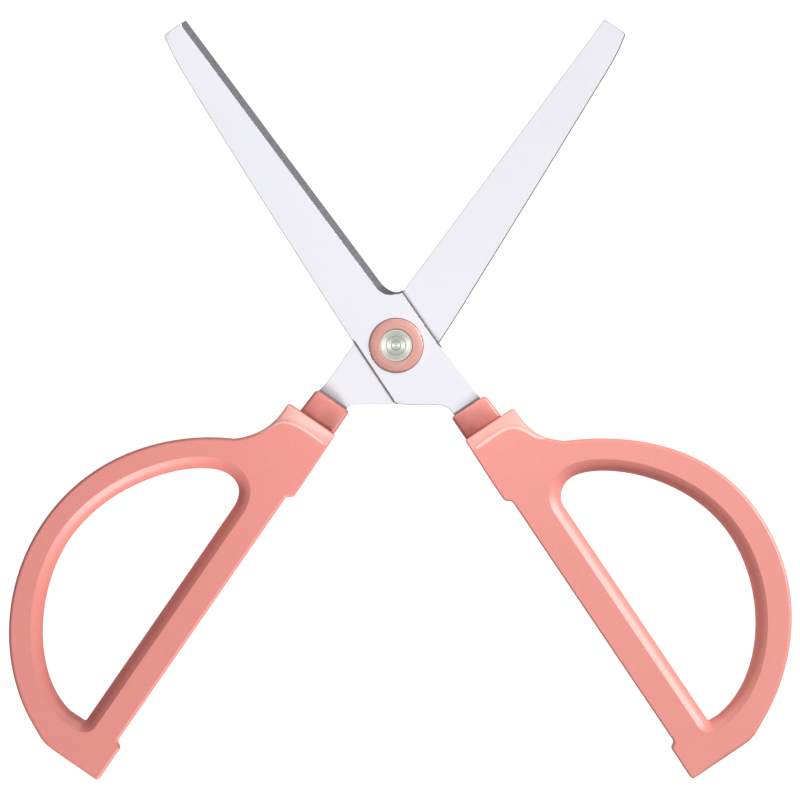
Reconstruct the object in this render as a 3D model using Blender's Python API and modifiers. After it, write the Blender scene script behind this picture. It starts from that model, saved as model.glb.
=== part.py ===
"""Craft scissors with two D-shaped finger loops, open in an X.

Units are metres, +Z up. The pivot axis is the Z axis, and z = 0 is the flat
steel face of the rivet on the back. The scissors lie flat: blades towards +Y,
finger loops towards -Y.

Each half is drawn closed, in its own half frame, in millimetres: x runs from
the centre plane towards its finger loop, y along the blade towards the tip,
and z outwards from the plane where the two blades meet. The front half is
turned OPEN_FRONT about the pivot. The rear half is the same kind of half
turned over about Y, then turned back by OPEN_REAR.
"""

import math

import bmesh
import bpy
from mathutils import Matrix, Vector

# ---------------------------------------------------------------- dimensions
MM = 0.001
OPEN_FRONT = 33.94       # degrees, front half at rest
OPEN_REAR = 34.65        # degrees, rear half at rest
MID_Z = 3.5              # height of the plane between the blades

BLADE_T = 1.5            # blade thickness
BLADE_GAP = 0.15         # half of the running gap between the blades
BLADE_IN = BLADE_GAP
BLADE_OUT = BLADE_GAP + BLADE_T
TIP_Y = 76.5
GRIND_W = 1.35           # width of the ground cutting bevel
EDGE_T = 0.25            # what the grinding leaves at the cutting edge
CLEAR = 0.3              # gap between touching pieces

HANDLE_HALF_T = 5.5      # half thickness of a finger loop
HANDLE_EDGE = 0.5        # rounding of its outer edges
RIM_W = 2.3              # width of the eased rim round the finger hole
RIM_D = 1.7              # depth of that rim
NECK_HALF_T = 3.25       # half thickness of the neck sleeve
NECK_EDGE = 0.4
SLOPE_LOW = 3.45         # half thickness of the shoulder at its front face
SLOPE_W = 2.6            # length of the sloping shoulder
CORNER_SLOPE = 30.0      # degrees, slope of the shoulder's outer corner

SPIGOT_DEPTH = 4.2       # how far the neck sleeve enters the shoulder
TANG_END_Y = -46.0
TANG_END_HALF_W = 1.7
LOCK_Y = -40.5           # locking hole of the tang
LOCK_R = 1.1
POST_R = 0.8

BUSH_HOLE_R = 3.1        # hole in each blade
BUSH_R = 2.8             # barrel of the ring
BUSH_BORE_R = 2.3
RING_R = 5.3
RING_SEAT_R = 3.42       # seat for the rivet head
RING_FLOOR = 2.45
RING_TOP_FRONT = 3.5
RING_TOP_REAR = 3.3
SHANK_R = 2.0
HEAD_R = 3.15
HEAD_UNDER = 2.75
HEAD_TOP = 3.32
REAR_FACE = 3.5
TENON_R = 1.4
TENON_END = 2.9
TENON_HOLE_R = 1.7
TENON_HOLE_END = 3.2

# What differs between the two halves. The loops aren't quite mirror images:
# the front one is a little wider and its neck sits further from the pivot.
FRONT = {
    "tip_x": 1.42, "root_x": 4.44, "tip_spine": (-3.95, 76.5), "tip_round": 0.9,
    "spine": [(-4.75, 70.0), (-5.25, 59.0), (-5.8, 42.0), (-6.35, 20.0), (-6.63, 5.0)],
    "spine_foot": (-6.75, -9.1),
    "ricasso_x": 7.1, "waist": (7.35, -5.0), "shank_out": (8.05, -16.8),
    "shank_in": (1.85, -17.4),
    "crotch": [(1.83, -16.8), (1.62, -15.9), (0.98, -15.0), (-0.24, -14.0), (-1.6, -13.0), (-4.7, -10.95)],
    "neck_x": (1.12, 9.17), "neck_y": -17.95, "shoulder_y": -23.1,
    "pad_x": 0.75, "recess_x": 1.88, "nub_x": 0.67, "step_y": -37.6, "end_y": -103.7,
    "shoulder_out": 12.4,
    "outer": [((12.42, -24.8), (12.42, -29.3), (13.75, -31.4), (17.0, -34.15)),
              ((17.0, -34.15), (18.2, -35.1), (40.94, -44.6), (40.94, -67.6)),
              ((40.94, -67.6), (40.94, -86.2), (28.6, -97.4), (18.0, -102.2))],
    "end_x": 14.6,
    "hole_x": 9.75, "hole_top": (14.1, -40.95), "hole_right": (33.83, -68.0),
    "hole_low": (12.0, -96.1),
    "hole_start": -44.9, "hole": [(2.3, 2.2), (5.8, 15.2), (13.1, 11.9), 1.0],
    "ridge": ((9.7, -26.3), (13.1, -30.6)),
}
REAR = {
    "tip_x": 2.72, "root_x": 4.85, "tip_spine": (-2.35, 76.5), "tip_round": 0.7,
    "spine": [(-3.0, 73.5), (-3.42, 70.0), (-4.0, 60.0), (-5.1, 40.0), (-6.13, 20.0), (-6.66, 8.6)],
    "spine_foot": (-6.9, -9.4),
    "ricasso_x": 7.0, "waist": (7.08, -13.2), "shank_out": (7.5, -16.2),
    "shank_in": (0.85, -16.0),
    "crotch": [(0.85, -15.5), (0.52, -15.0), (0.09, -14.5), (-0.45, -14.0), (-1.65, -13.0), (-4.5, -11.0)],
    "neck_x": (0.13, 7.98), "neck_y": -16.0, "shoulder_y": -21.3,
    "pad_x": -0.3, "recess_x": 0.84, "nub_x": -0.45, "step_y": -36.3, "end_y": -104.15,
    "shoulder_out": 11.0,
    "outer": [((11.02, -23.4), (11.02, -27.5), (13.05, -31.0), (16.0, -33.43)),
              ((16.0, -33.43), (26.0, -38.7), (37.48, -50.7), (37.48, -67.9)),
              ((37.48, -67.9), (37.48, -82.1), (29.8, -95.1), (18.0, -101.5))],
    "end_x": 12.0,
    "hole_x": 8.24, "hole_top": (12.75, -39.73), "hole_right": (31.34, -68.0),
    "hole_low": (12.0, -96.0),
    "hole_start": -44.9, "hole": [(3.3, 3.1), (6.1, 14.8), (12.1, 10.4), 1.75],
    "ridge": ((8.6, -24.5), (12.0, -28.8)),
}

PINK = (0.846, 0.326, 0.287, 1.0)
PINK_NECK = (0.700, 0.245, 0.215, 1.0)
PINK_RING = (0.680, 0.300, 0.252, 1.0)
STEEL = (0.850, 0.855, 0.890, 1.0)
STEEL_REAR = (0.820, 0.825, 0.860, 1.0)
RIVET = (0.640, 0.660, 0.610, 1.0)
RIVET_CAP = (0.600, 0.615, 0.580, 1.0)

# ---------------------------------------------------------------- scene setup
for old in list(bpy.data.objects):
    bpy.data.objects.remove(old, do_unlink=True)

parts = bpy.data.collections.new("craft_scissors")
bpy.context.scene.collection.children.link(parts)
cutters = bpy.data.collections.new("cutters")
bpy.context.scene.collection.children.link(cutters)


def material(name, colour, roughness, metallic):
    m = bpy.data.materials.new(name)
    m.use_nodes = True
    shader = m.node_tree.nodes["Principled BSDF"]
    shader.inputs["Base Color"].default_value = colour
    shader.inputs["Roughness"].default_value = roughness
    shader.inputs["Metallic"].default_value = metallic
    m.diffuse_color = colour
    return m


# ---------------------------------------------------------------- outlines
def bezier(p0, p1, p2, p3, count):
    """Points along one cubic curve, without its first point."""
    out = []
    for i in range(1, count + 1):
        t = i / count
        s = 1.0 - t
        out.append(tuple(
            s**3 * a + 3 * s * s * t * b + 3 * s * t * t * c + t**3 * d
            for a, b, c, d in zip(p0, p1, p2, p3)))
    return out


def rounded(corners, steps=4):
    """A closed outline: an entry (x, y) stays as it is, and an entry (x, y, r)
    becomes an arc of radius r tangent to its two neighbours."""
    out = []
    n = len(corners)
    for i, c in enumerate(corners):
        if len(c) == 2:
            out.append((c[0], c[1]))
            continue
        here = Vector(c[:2])
        back = Vector(corners[i - 1][:2]) - here
        ahead = Vector(corners[(i + 1) % n][:2]) - here
        angle = back.angle(ahead)
        reach = min(c[2] / math.tan(angle / 2), 0.49 * back.length, 0.49 * ahead.length)
        radius = reach * math.tan(angle / 2)
        centre = here + (back.normalized() + ahead.normalized()).normalized() * (radius / math.sin(angle / 2))
        a = here + back.normalized() * reach - centre
        b = here + ahead.normalized() * reach - centre
        turn = a.angle_signed(b)
        for k in range(steps + 1):
            spin = Matrix.Rotation(-turn * k / steps, 2)
            p = centre + spin @ a
            out.append((p.x, p.y))
    return out


def flat(name, loops, z0, z1):
    """A closed mesh from flat outlines in mm: the first is the outside and the
    rest are holes. It fills z0..z1."""
    curve = bpy.data.curves.new(name, "CURVE")
    curve.dimensions = "2D"
    curve.fill_mode = "BOTH"
    curve.extrude = (z1 - z0) / 2 * MM
    for loop in loops:
        area = sum(a[0] * b[1] - b[0] * a[1] for a, b in zip(loop, loop[1:] + loop[:1]))
        if area > 0:
            loop = loop[::-1]
        spline = curve.splines.new("POLY")
        spline.points.add(len(loop) - 1)
        for point, (x, y) in zip(spline.points, loop):
            point.co = (x * MM, y * MM, 0.0, 1.0)
        spline.use_cyclic_u = True
    drawn = bpy.data.objects.new(name + "_outline", curve)
    drawn.location = (0.0, 0.0, (z0 + z1) / 2 * MM)
    cutters.objects.link(drawn)
    bpy.context.view_layer.update()
    depsgraph = bpy.context.evaluated_depsgraph_get()
    mesh = bpy.data.meshes.new_from_object(drawn.evaluated_get(depsgraph))
    mesh.transform(drawn.matrix_world)
    bpy.data.objects.remove(drawn, do_unlink=True)
    bm = bmesh.new()
    bm.from_mesh(mesh)
    bmesh.ops.remove_doubles(bm, verts=bm.verts, dist=0.000001)
    bmesh.ops.recalc_face_normals(bm, faces=bm.faces)
    bm.to_mesh(mesh)
    bm.free()
    mesh.name = name
    return mesh


def grown(outline, by):
    """The outline moved outwards by a distance, with mitred corners."""
    area = sum(a[0] * b[1] - b[0] * a[1] for a, b in zip(outline, outline[1:] + outline[:1]))
    side = 1.0 if area > 0 else -1.0
    out = []
    n = len(outline)
    for i, p in enumerate(outline):
        before = (Vector(p) - Vector(outline[i - 1])).normalized()
        after = (Vector(outline[(i + 1) % n]) - Vector(p)).normalized()
        a, b = Vector((before.y, -before.x)) * side, Vector((after.y, -after.x)) * side
        middle = (a + b).normalized()
        out.append(tuple(Vector(p) + middle * (by / max(middle.dot(a), 0.5))))
    return out


def loft(name, outline, levels):
    """A closed mesh through copies of one outline: each level is a height and
    how far the outline has grown there."""
    bm = bmesh.new()
    rings = []
    for z, by in levels:
        rings.append([bm.verts.new((x * MM, y * MM, z * MM)) for x, y in grown(outline, by)])
    n = len(outline)
    for low, high in zip(rings, rings[1:]):
        for i in range(n):
            bm.faces.new((low[i], low[(i + 1) % n], high[(i + 1) % n], high[i]))
    bm.faces.new(rings[0])
    bm.faces.new(rings[-1])
    bmesh.ops.recalc_face_normals(bm, faces=bm.faces)
    mesh = bpy.data.meshes.new(name)
    bm.to_mesh(mesh)
    bm.free()
    return mesh


def wedge(name, run):
    """A wedge swept along a cutting edge. Its sloping face meets the outer face
    of the blade one bevel width inside the edge, and the edge at EDGE_T."""
    bm = bmesh.new()
    rings = []
    rise = BLADE_OUT - BLADE_IN - EDGE_T
    for i, (point, width) in enumerate(run):
        p = Vector(point)
        sides = []
        if i:
            sides.append((p - Vector(run[i - 1][0])).normalized())
        if i < len(run) - 1:
            sides.append((Vector(run[i + 1][0]) - p).normalized())
        along = sum(sides, Vector((0.0, 0.0))).normalized()
        inward = Vector((along.y, -along.x)) / max(along.dot(sides[0]), 0.5)
        slope = rise / width
        ring = []
        for reach, z in ((width + 0.6, BLADE_OUT + 0.6 * slope),
                         (-0.5, BLADE_IN + EDGE_T - 0.5 * slope),
                         (-0.5, BLADE_OUT + 0.6 * slope)):
            q = p + inward * reach
            ring.append(bm.verts.new((q.x * MM, q.y * MM, z * MM)))
        rings.append(ring)
    for low, high in zip(rings, rings[1:]):
        for k in range(3):
            bm.faces.new((low[k], low[(k + 1) % 3], high[(k + 1) % 3], high[k]))
    bm.faces.new(rings[0])
    bm.faces.new(rings[-1])
    bmesh.ops.recalc_face_normals(bm, faces=bm.faces)
    mesh = bpy.data.meshes.new(name)
    bm.to_mesh(mesh)
    bm.free()
    return mesh


def eased(half, edge):
    """Levels of a slab with rounded edges."""
    top = [(half - edge, 0.0), (half - 0.3 * edge, -0.3 * edge), (half, -edge)]
    return [(-z, by) for z, by in top[::-1]] + top


def body(name, mesh):
    o = bpy.data.objects.new(name, mesh)
    parts.objects.link(o)
    return o


def cutter(name, mesh):
    o = bpy.data.objects.new(name, mesh)
    o.hide_render = True
    o.display_type = "WIRE"
    cutters.objects.link(o)
    return o


def box(name, low, high):
    bm = bmesh.new()
    bmesh.ops.create_cube(bm, size=1.0)
    size = [b - a for a, b in zip(low, high)]
    centre = [(a + b) / 2 for a, b in zip(low, high)]
    bmesh.ops.scale(bm, verts=bm.verts, vec=Vector(size) * MM)
    bmesh.ops.translate(bm, verts=bm.verts, vec=Vector(centre) * MM)
    mesh = bpy.data.meshes.new(name)
    bm.to_mesh(mesh)
    bm.free()
    return cutter(name, mesh)


def cylinder(name, x, y, z0, z1, radius, sides=28):
    bm = bmesh.new()
    bmesh.ops.create_cone(bm, cap_ends=True, segments=sides, radius1=radius * MM,
                          radius2=radius * MM, depth=(z1 - z0) * MM)
    bmesh.ops.translate(bm, verts=bm.verts, vec=Vector((x, y, (z0 + z1) / 2)) * MM)
    mesh = bpy.data.meshes.new(name)
    bm.to_mesh(mesh)
    bm.free()
    return cutter(name, mesh)


def half_space(name, point, normal, along, length, width=12.0, depth=8.0):
    """A block whose lower face passes through point, square to normal, centred
    on it along the direction along."""
    up = Vector(normal).normalized()
    x = Vector(along).normalized()
    y = up.cross(x).normalized()
    bm = bmesh.new()
    bmesh.ops.create_cube(bm, size=1.0)
    bmesh.ops.scale(bm, verts=bm.verts, vec=Vector((length, width, depth)) * MM)
    bmesh.ops.translate(bm, verts=bm.verts, vec=Vector((0, 0, depth / 2)) * MM)
    turn = Matrix((x, y, up)).transposed().to_4x4()
    bmesh.ops.transform(bm, matrix=Matrix.Translation(Vector(point) * MM) @ turn, verts=bm.verts)
    mesh = bpy.data.meshes.new(name)
    bm.to_mesh(mesh)
    bm.free()
    return cutter(name, mesh)


def cut(target, tool, operation="DIFFERENCE"):
    m = target.modifiers.new(tool.name, "BOOLEAN")
    m.operation = operation
    m.solver = "EXACT"
    m.object = tool


def turned(name, profile, steps=48, closed=True):
    """A turned piece: (radius, z) in mm, down the outer side first."""
    mesh = bpy.data.meshes.new(name)
    edges = [(i, i + 1) for i in range(len(profile) - 1)]
    if closed:
        edges.append((len(profile) - 1, 0))
    mesh.from_pydata([(r * MM, 0.0, z * MM) for r, z in profile], edges, [])
    o = body(name, mesh)
    m = o.modifiers.new("turn", "SCREW")
    m.steps = m.render_steps = steps
    m.use_merge_vertices = True
    m.merge_threshold = 0.00001
    return o


# ---------------------------------------------------------------- one half
def blade(name, d):
    """The blade plate, drawn from the tip round to the tang and back."""
    x0, x1 = d["neck_x"]
    mid = (x0 + x1) / 2 + 0.1
    half = 2.3
    end = TANG_END_HALF_W
    sx, sy = d["shank_in"]
    ox, oy = d["shank_out"]
    y_in = d["neck_y"] - 1.6
    corners = [
        (d["tip_x"], TIP_Y), (d["root_x"], 12.0), (d["root_x"] + 0.12, 11.0),
        (5.2, 9.95), (6.05, 8.85), (6.85, 8.45), (d["ricasso_x"], 8.0, 0.2),
        (d["waist"][0], d["waist"][1]), (ox, oy),
        (ox, y_in, 0.4), (mid + half, y_in - 1.0, 0.4),
        (mid + half, -27.0), (mid + end, TANG_END_Y + 1.0, 0.6), (mid + end - 0.8, TANG_END_Y, 0.6),
        (mid - end + 0.8, TANG_END_Y, 0.6), (mid - end, TANG_END_Y + 1.0, 0.6), (mid - half, -27.0),
        (mid - half, y_in - 1.0, 0.4), (sx, y_in, 0.4), (sx, sy)]
    corners += d["crotch"]
    corners += [(d["spine_foot"][0], d["spine_foot"][1], 0.3)]
    corners += d["spine"][::-1]
    corners += [(d["tip_spine"][0], d["tip_spine"][1], d["tip_round"])]
    o = body(name, flat(name, [rounded(corners)], BLADE_IN, BLADE_OUT))
    cut(o, cylinder(name + "_pivot_hole", 0, 0, -1, 3, BUSH_HOLE_R, 40))
    cut(o, cylinder(name + "_lock_hole", mid, LOCK_Y, -1, 3, LOCK_R, 20))
    # the ground bevel runs down the cutting edge and dies out round the notch
    run = [((d["tip_x"] - 0.15, TIP_Y + 3.0), GRIND_W), ((d["root_x"], 12.0), GRIND_W),
           ((d["root_x"] + 0.12, 11.0), GRIND_W), ((5.2, 9.95), 1.3), ((6.05, 8.85), 1.1),
           ((6.85, 8.45), 0.9), ((8.2, 7.9), 0.6)]
    cut(o, cutter(name + "_grind", wedge(name + "_grind", run)))
    return o, mid


def neck_sleeve(name, d, mid):
    """A collar round the tang, with a spigot that enters the shoulder."""
    x0, x1 = d["neck_x"]
    y0, y1 = d["neck_y"], d["shoulder_y"] + CLEAR
    collar = [(x0, y1), (x0, y0, 0.5), (x1, y0, 0.9), (x1 + 0.28, y1)]
    o = body(name, loft(name, rounded(collar, 3), eased(NECK_HALF_T, NECK_EDGE)))
    spigot = [(mid - 3.35, y1 + 1.0), (mid - 3.35, d["shoulder_y"] - SPIGOT_DEPTH, 0.4),
              (mid + 3.35, d["shoulder_y"] - SPIGOT_DEPTH, 0.4), (mid + 3.35, y1 + 1.0)]
    cut(o, cutter(name + "_spigot", flat(name + "_spigot", [rounded(spigot, 2)], -2.6, 2.9)), "UNION")
    half = 2.3 + CLEAR
    y_in = d["neck_y"] - 1.6 - 1.0 - CLEAR
    cut(o, box(name + "_tang_slot", (mid - half, -60, BLADE_IN - CLEAR), (mid + half, y0 + 2, BLADE_OUT + CLEAR)))
    cut(o, box(name + "_mouth", (d["shank_in"][0] - CLEAR, y_in, BLADE_IN - CLEAR),
               (d["shank_out"][0] + CLEAR, y0 + 2, BLADE_OUT + CLEAR)))
    return o


def handle_outline(d):
    end, step = d["end_y"], d["step_y"]
    corners = [(d["pad_x"] + 0.1, d["shoulder_y"], 0.55), (d["shoulder_out"], d["shoulder_y"] - 0.05, 0.75)]
    corners += [tuple(d["outer"][0][0])]
    for segment, count in zip(d["outer"], (6, 16, 14)):
        corners += bezier(*segment, count)
    corners += [(d["end_x"] + 1.6, end + 0.55), (d["end_x"], end + 0.1), (d["end_x"] - 1.6, end), (d["nub_x"] - 0.02, end, 0.7)]
    corners += [(d["nub_x"] + 0.05, -96.35, 0.62), (d["recess_x"], -95.7, 0.8),
                (d["recess_x"], step - 0.75, 0.9), (d["pad_x"] - 0.08, step + 0.25, 0.8),
                (d["pad_x"] - 0.1, -33.0), (d["pad_x"], -28.0)]
    return rounded(corners)


def hole_outline(d):
    """The D-shaped finger hole: a straight side, a tight top corner, the long
    arc, and a small corner at the foot."""
    x, (tx, ty), (rx, ry), (lx, ly) = d["hole_x"], d["hole_top"], d["hole_right"], d["hole_low"]
    (a, b), (c, e), (f, g), h = d["hole"]
    start = (x, d["hole_start"])
    corners = [start]
    corners += bezier(start, (x, start[1] + a), (tx - b, ty), (tx, ty), 6)
    corners += bezier((tx, ty), (tx + c, ty), (rx, ry + e), (rx, ry), 14)
    corners += bezier((rx, ry), (rx, ry - f), (lx + g, ly + h), (lx, ly), 14)
    corners += [(x + 1.0, ly + 0.05), (x, ly + 0.05, 0.9), (x, ly + 3.5)]
    return rounded(corners)


def handle(name, d, mid):
    o = body(name, loft(name, handle_outline(d), eased(HANDLE_HALF_T, HANDLE_EDGE)))
    # the finger hole widens towards both faces: its eased rim, in three steps
    rim = [(HANDLE_HALF_T - RIM_D, 0.0), (HANDLE_HALF_T - 0.50 * RIM_D, 0.22 * RIM_W),
           (HANDLE_HALF_T - 0.15 * RIM_D, 0.60 * RIM_W), (HANDLE_HALF_T, RIM_W),
           (HANDLE_HALF_T + 3.0, RIM_W + 1.0)]
    hole = [(-z, by) for z, by in rim[::-1]] + rim
    cut(o, cutter(name + "_finger_hole", loft(name + "_finger_hole", hole_outline(d), hole)))
    for side, label in ((1, "top"), (-1, "bottom")):
        # the shoulder slopes down to the neck, and round its outer corner
        drop = HANDLE_HALF_T - SLOPE_LOW
        cut(o, half_space(f"{name}_slope_{label}", (5.0, d["shoulder_y"] - SLOPE_W, side * HANDLE_HALF_T),
                          (0.0, drop, side * SLOPE_W), (1, 0, 0), 40.0, 20.0))
        (ax, ay), (bx, by) = d["ridge"]
        line = Vector((bx - ax, by - ay)).normalized()
        out = Vector((-line.y, line.x))
        t = math.tan(math.radians(CORNER_SLOPE))
        cut(o, half_space(f"{name}_corner_{label}", ((ax + bx) / 2, (ay + by) / 2, side * HANDLE_HALF_T),
                          (out.x * t, out.y * t, side * 1.0), (line.x, line.y, 0), 16.0, 16.0))
    # the pocket for the neck spigot, and the slot for the tang with its moulded post
    cut(o, box(name + "_spigot_pocket", (mid - 3.35 - CLEAR, d["shoulder_y"] - SPIGOT_DEPTH - CLEAR, -2.9),
               (mid + 3.35 + CLEAR, d["shoulder_y"] + 3, 3.2)))
    half, end = 2.3 + CLEAR, TANG_END_HALF_W + CLEAR
    slot = [(mid - half, -20.0), (mid + half, -20.0), (mid + half, -27.0),
            (mid + end, TANG_END_Y - CLEAR), (mid - end, TANG_END_Y - CLEAR), (mid - half, -27.0)]
    post = [(mid + POST_R * math.cos(math.radians(a)), LOCK_Y + POST_R * math.sin(math.radians(a)))
            for a in range(0, 360, 20)]
    cut(o, cutter(name + "_tang_slot", flat(name + "_tang_slot", [slot, post], BLADE_IN - CLEAR, BLADE_OUT + CLEAR)))
    return o


def pivot_ring(name, top):
    """A flanged bush: a rounded ring with a seat for the rivet head, and a
    barrel that runs in the blade's hole."""
    low = BLADE_OUT + 0.25
    wall = RING_R - RING_SEAT_R
    crown = [(RING_SEAT_R, top - 0.35), (RING_SEAT_R + 0.12, top - 0.12), (RING_SEAT_R + 0.4, top)]
    for a in range(90, -1, -15):
        crown.append((RING_R - 1.05 + 1.05 * math.cos(math.radians(a)),
                      top - 1.05 + 1.05 * math.sin(math.radians(a))))
    profile = crown + [(RING_R - 0.05, low), (BUSH_R, low), (BUSH_R, BLADE_IN + 0.3),
                       (BUSH_BORE_R, BLADE_IN + 0.3), (BUSH_BORE_R, RING_FLOOR), (RING_SEAT_R, RING_FLOOR)]
    assert wall > 1.0
    return turned(name, profile)


# ---------------------------------------------------------------- build
front_blade, front_mid = blade("front_blade", FRONT)
rear_blade, rear_mid = blade("rear_blade", REAR)
front_neck = neck_sleeve("front_neck_sleeve", FRONT, front_mid)
rear_neck = neck_sleeve("rear_neck_sleeve", REAR, rear_mid)
front_handle = handle("front_handle", FRONT, front_mid)
rear_handle = handle("rear_handle", REAR, rear_mid)
front_ring = pivot_ring("front_pivot_ring", RING_TOP_FRONT)
rear_ring = pivot_ring("rear_pivot_ring", RING_TOP_REAR)

# the rivet: a dished head with two turned steps, a shank, and a tenon
rivet = turned("pivot_rivet", [
    (0.0, HEAD_TOP - 0.16), (0.9, HEAD_TOP - 0.14), (1.0, HEAD_TOP - 0.08), (1.9, HEAD_TOP - 0.06),
    (2.0, HEAD_TOP), (2.95, HEAD_TOP - 0.02), (HEAD_R, HEAD_TOP - 0.2), (HEAD_R, HEAD_UNDER),
    (SHANK_R, HEAD_UNDER), (SHANK_R, -RING_FLOOR), (TENON_R, -RING_FLOOR), (TENON_R, -TENON_END),
    (0.0, -TENON_END)], closed=False)
rear_cap = turned("rivet_rear_cap", [
    (0.0, REAR_FACE), (HEAD_R - 0.2, REAR_FACE), (HEAD_R, REAR_FACE - 0.2), (HEAD_R, HEAD_UNDER),
    (TENON_HOLE_R, HEAD_UNDER), (TENON_HOLE_R, TENON_HOLE_END), (0.0, TENON_HOLE_END)], closed=False)

# each half hangs on an empty at the pivot
front_half = bpy.data.objects.new("front_half", None)
rear_half = bpy.data.objects.new("rear_half", None)
for pivot, spin in ((front_half, (0.0, 0.0, math.radians(OPEN_FRONT))),
                    (rear_half, (0.0, math.pi, -math.radians(OPEN_REAR)))):
    parts.objects.link(pivot)
    pivot.location = (0.0, 0.0, MID_Z * MM)
    pivot.rotation_euler = spin


def hang(o, pivot, m):
    o.parent = pivot
    for modifier in o.modifiers:
        if modifier.type == "BOOLEAN":
            modifier.object.parent = pivot
    o.data.materials.clear()
    o.data.materials.append(m)


hang(front_blade, front_half, material("front_blade_steel", STEEL, 0.28, 1.0))
hang(rear_blade, rear_half, material("rear_blade_steel", STEEL_REAR, 0.30, 1.0))
hang(front_neck, front_half, material("front_neck_plastic", PINK_NECK, 0.5, 0.0))
hang(rear_neck, rear_half, material("rear_neck_plastic", PINK_NECK, 0.5, 0.0))
hang(front_handle, front_half, material("front_handle_plastic", PINK, 0.5, 0.0))
hang(rear_handle, rear_half, material("rear_handle_plastic", PINK, 0.5, 0.0))
hang(front_ring, front_half, material("front_ring_plastic", PINK_RING, 0.4, 0.0))
hang(rear_ring, rear_half, material("rear_ring_plastic", PINK_RING, 0.4, 0.0))
hang(rear_cap, rear_half, material("rear_cap_steel", RIVET_CAP, 0.3, 1.0))
rivet.location = (0.0, 0.0, MID_Z * MM)
rivet.data.materials.append(material("rivet_steel", RIVET, 0.25, 1.0))

for piece in (front_ring, rear_ring, rivet, rear_cap):
    smooth = piece.modifiers["turn"]
    smooth.use_smooth_shade = True
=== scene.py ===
"""Craft scissors with two D-shaped finger loops, lying open on a pale table.

Each half is drawn closed in its own half frame, in millimetres: x runs from
the centre plane towards the finger loop, y along the blade towards the tip,
and z outwards from the plane between the blades. The front half is then turned
about the pivot, and the rear half is turned over and turned the other way.
"""

import math

import bpy
import numpy as np
from mathutils import Matrix, Vector
from mathutils.geometry import delaunay_2d_cdt


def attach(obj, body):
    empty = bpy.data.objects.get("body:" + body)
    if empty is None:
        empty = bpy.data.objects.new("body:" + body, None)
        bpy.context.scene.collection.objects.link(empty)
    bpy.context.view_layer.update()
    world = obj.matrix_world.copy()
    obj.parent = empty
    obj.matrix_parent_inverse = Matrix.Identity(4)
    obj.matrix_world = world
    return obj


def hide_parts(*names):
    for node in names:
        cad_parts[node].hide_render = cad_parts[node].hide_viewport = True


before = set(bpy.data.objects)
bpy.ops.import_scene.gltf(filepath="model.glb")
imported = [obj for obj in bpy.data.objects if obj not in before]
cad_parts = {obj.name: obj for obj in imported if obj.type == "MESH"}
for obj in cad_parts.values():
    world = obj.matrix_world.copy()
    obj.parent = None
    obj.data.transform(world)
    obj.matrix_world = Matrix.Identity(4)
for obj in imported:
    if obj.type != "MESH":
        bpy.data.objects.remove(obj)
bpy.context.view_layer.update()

# ---------------------------------------------------------------- dimensions
MM = 0.001
OPEN_FRONT = 33.94
OPEN_REAR = 34.65
MID_Z = 3.5

BLADE_IN = 0.15          # inner face of a blade
BLADE_OUT = 1.65         # outer face
TIP_Y = 76.5
GRIND_W = 1.35           # ground bevel
GRIND_RISE = 1.38
BLADE_EDGE = 0.12        # rounding of the blade's edges

HANDLE_HALF_T = 5.5
HANDLE_EDGE = 0.66       # rounding of the handle's outer edges
RIM_W = 2.3              # eased rim of the finger hole
RIM_START, RIM_END = 25.0, 74.0   # its slope in degrees, outside and at the hole
SLOPE_W = 2.6            # sloping shoulder
SLOPE = 0.66
RIDGE_HALF = 0.42        # half width of the rounding along its ridge

FRONT = {
    "tip_x": 1.42, "root_x": 4.44, "tip_spine": (-3.95, 76.5), "tip_round": 0.9,
    "spine": [(-4.75, 70.0), (-5.25, 59.0), (-5.8, 42.0), (-6.35, 20.0), (-6.63, 5.0)],
    "spine_foot": (-6.75, -9.1),
    "ricasso_x": 7.1, "waist": (7.35, -5.0), "shank_out": (8.05, -16.8),
    "shank_in": (1.85, -17.4),
    "crotch": [(1.83, -16.8), (1.62, -15.9), (0.98, -15.0), (-0.24, -14.0), (-1.6, -13.0), (-4.7, -10.95)],
    "neck_x": (1.12, 9.17), "neck_y": -17.95, "shoulder_y": -23.1,
    "pad_x": 0.75, "recess_x": 1.88, "nub_x": 0.67, "step_y": -37.6, "end_y": -103.7,
    "shoulder_out": 12.4,
    "outer": [((12.42, -24.8), (12.42, -29.3), (13.75, -31.4), (17.0, -34.15)),
              ((17.0, -34.15), (18.2, -35.1), (40.94, -44.6), (40.94, -67.6)),
              ((40.94, -67.6), (40.94, -86.2), (28.6, -97.4), (18.0, -102.2))],
    "end_x": 14.6,
    "hole_x": 9.75, "hole_top": (14.1, -40.95), "hole_right": (33.83, -68.0),
    "hole_low": (12.0, -96.1),
    "hole_start": -44.9, "hole": [(2.3, 2.2), (5.8, 15.2), (13.1, 11.9), 1.0],
    "low_inner": 1.0,
    "eased": [("outer", 1, -5.5, 9.3, 0.44, 0.8), ("outer", -1, -9.25, 5.8, 0.42, 0.5)],
    "ridge": [(-4.0, -25.7), (1.95, -25.7), (4.4, -25.68), (7.1, -25.64), (8.65, -25.8), (10.1, -26.35),
              (11.24, -27.5), (12.2, -29.2), (13.0, -30.6), (14.2, -31.5), (17.0, -31.2), (60.0, -26.0)],
}
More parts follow.
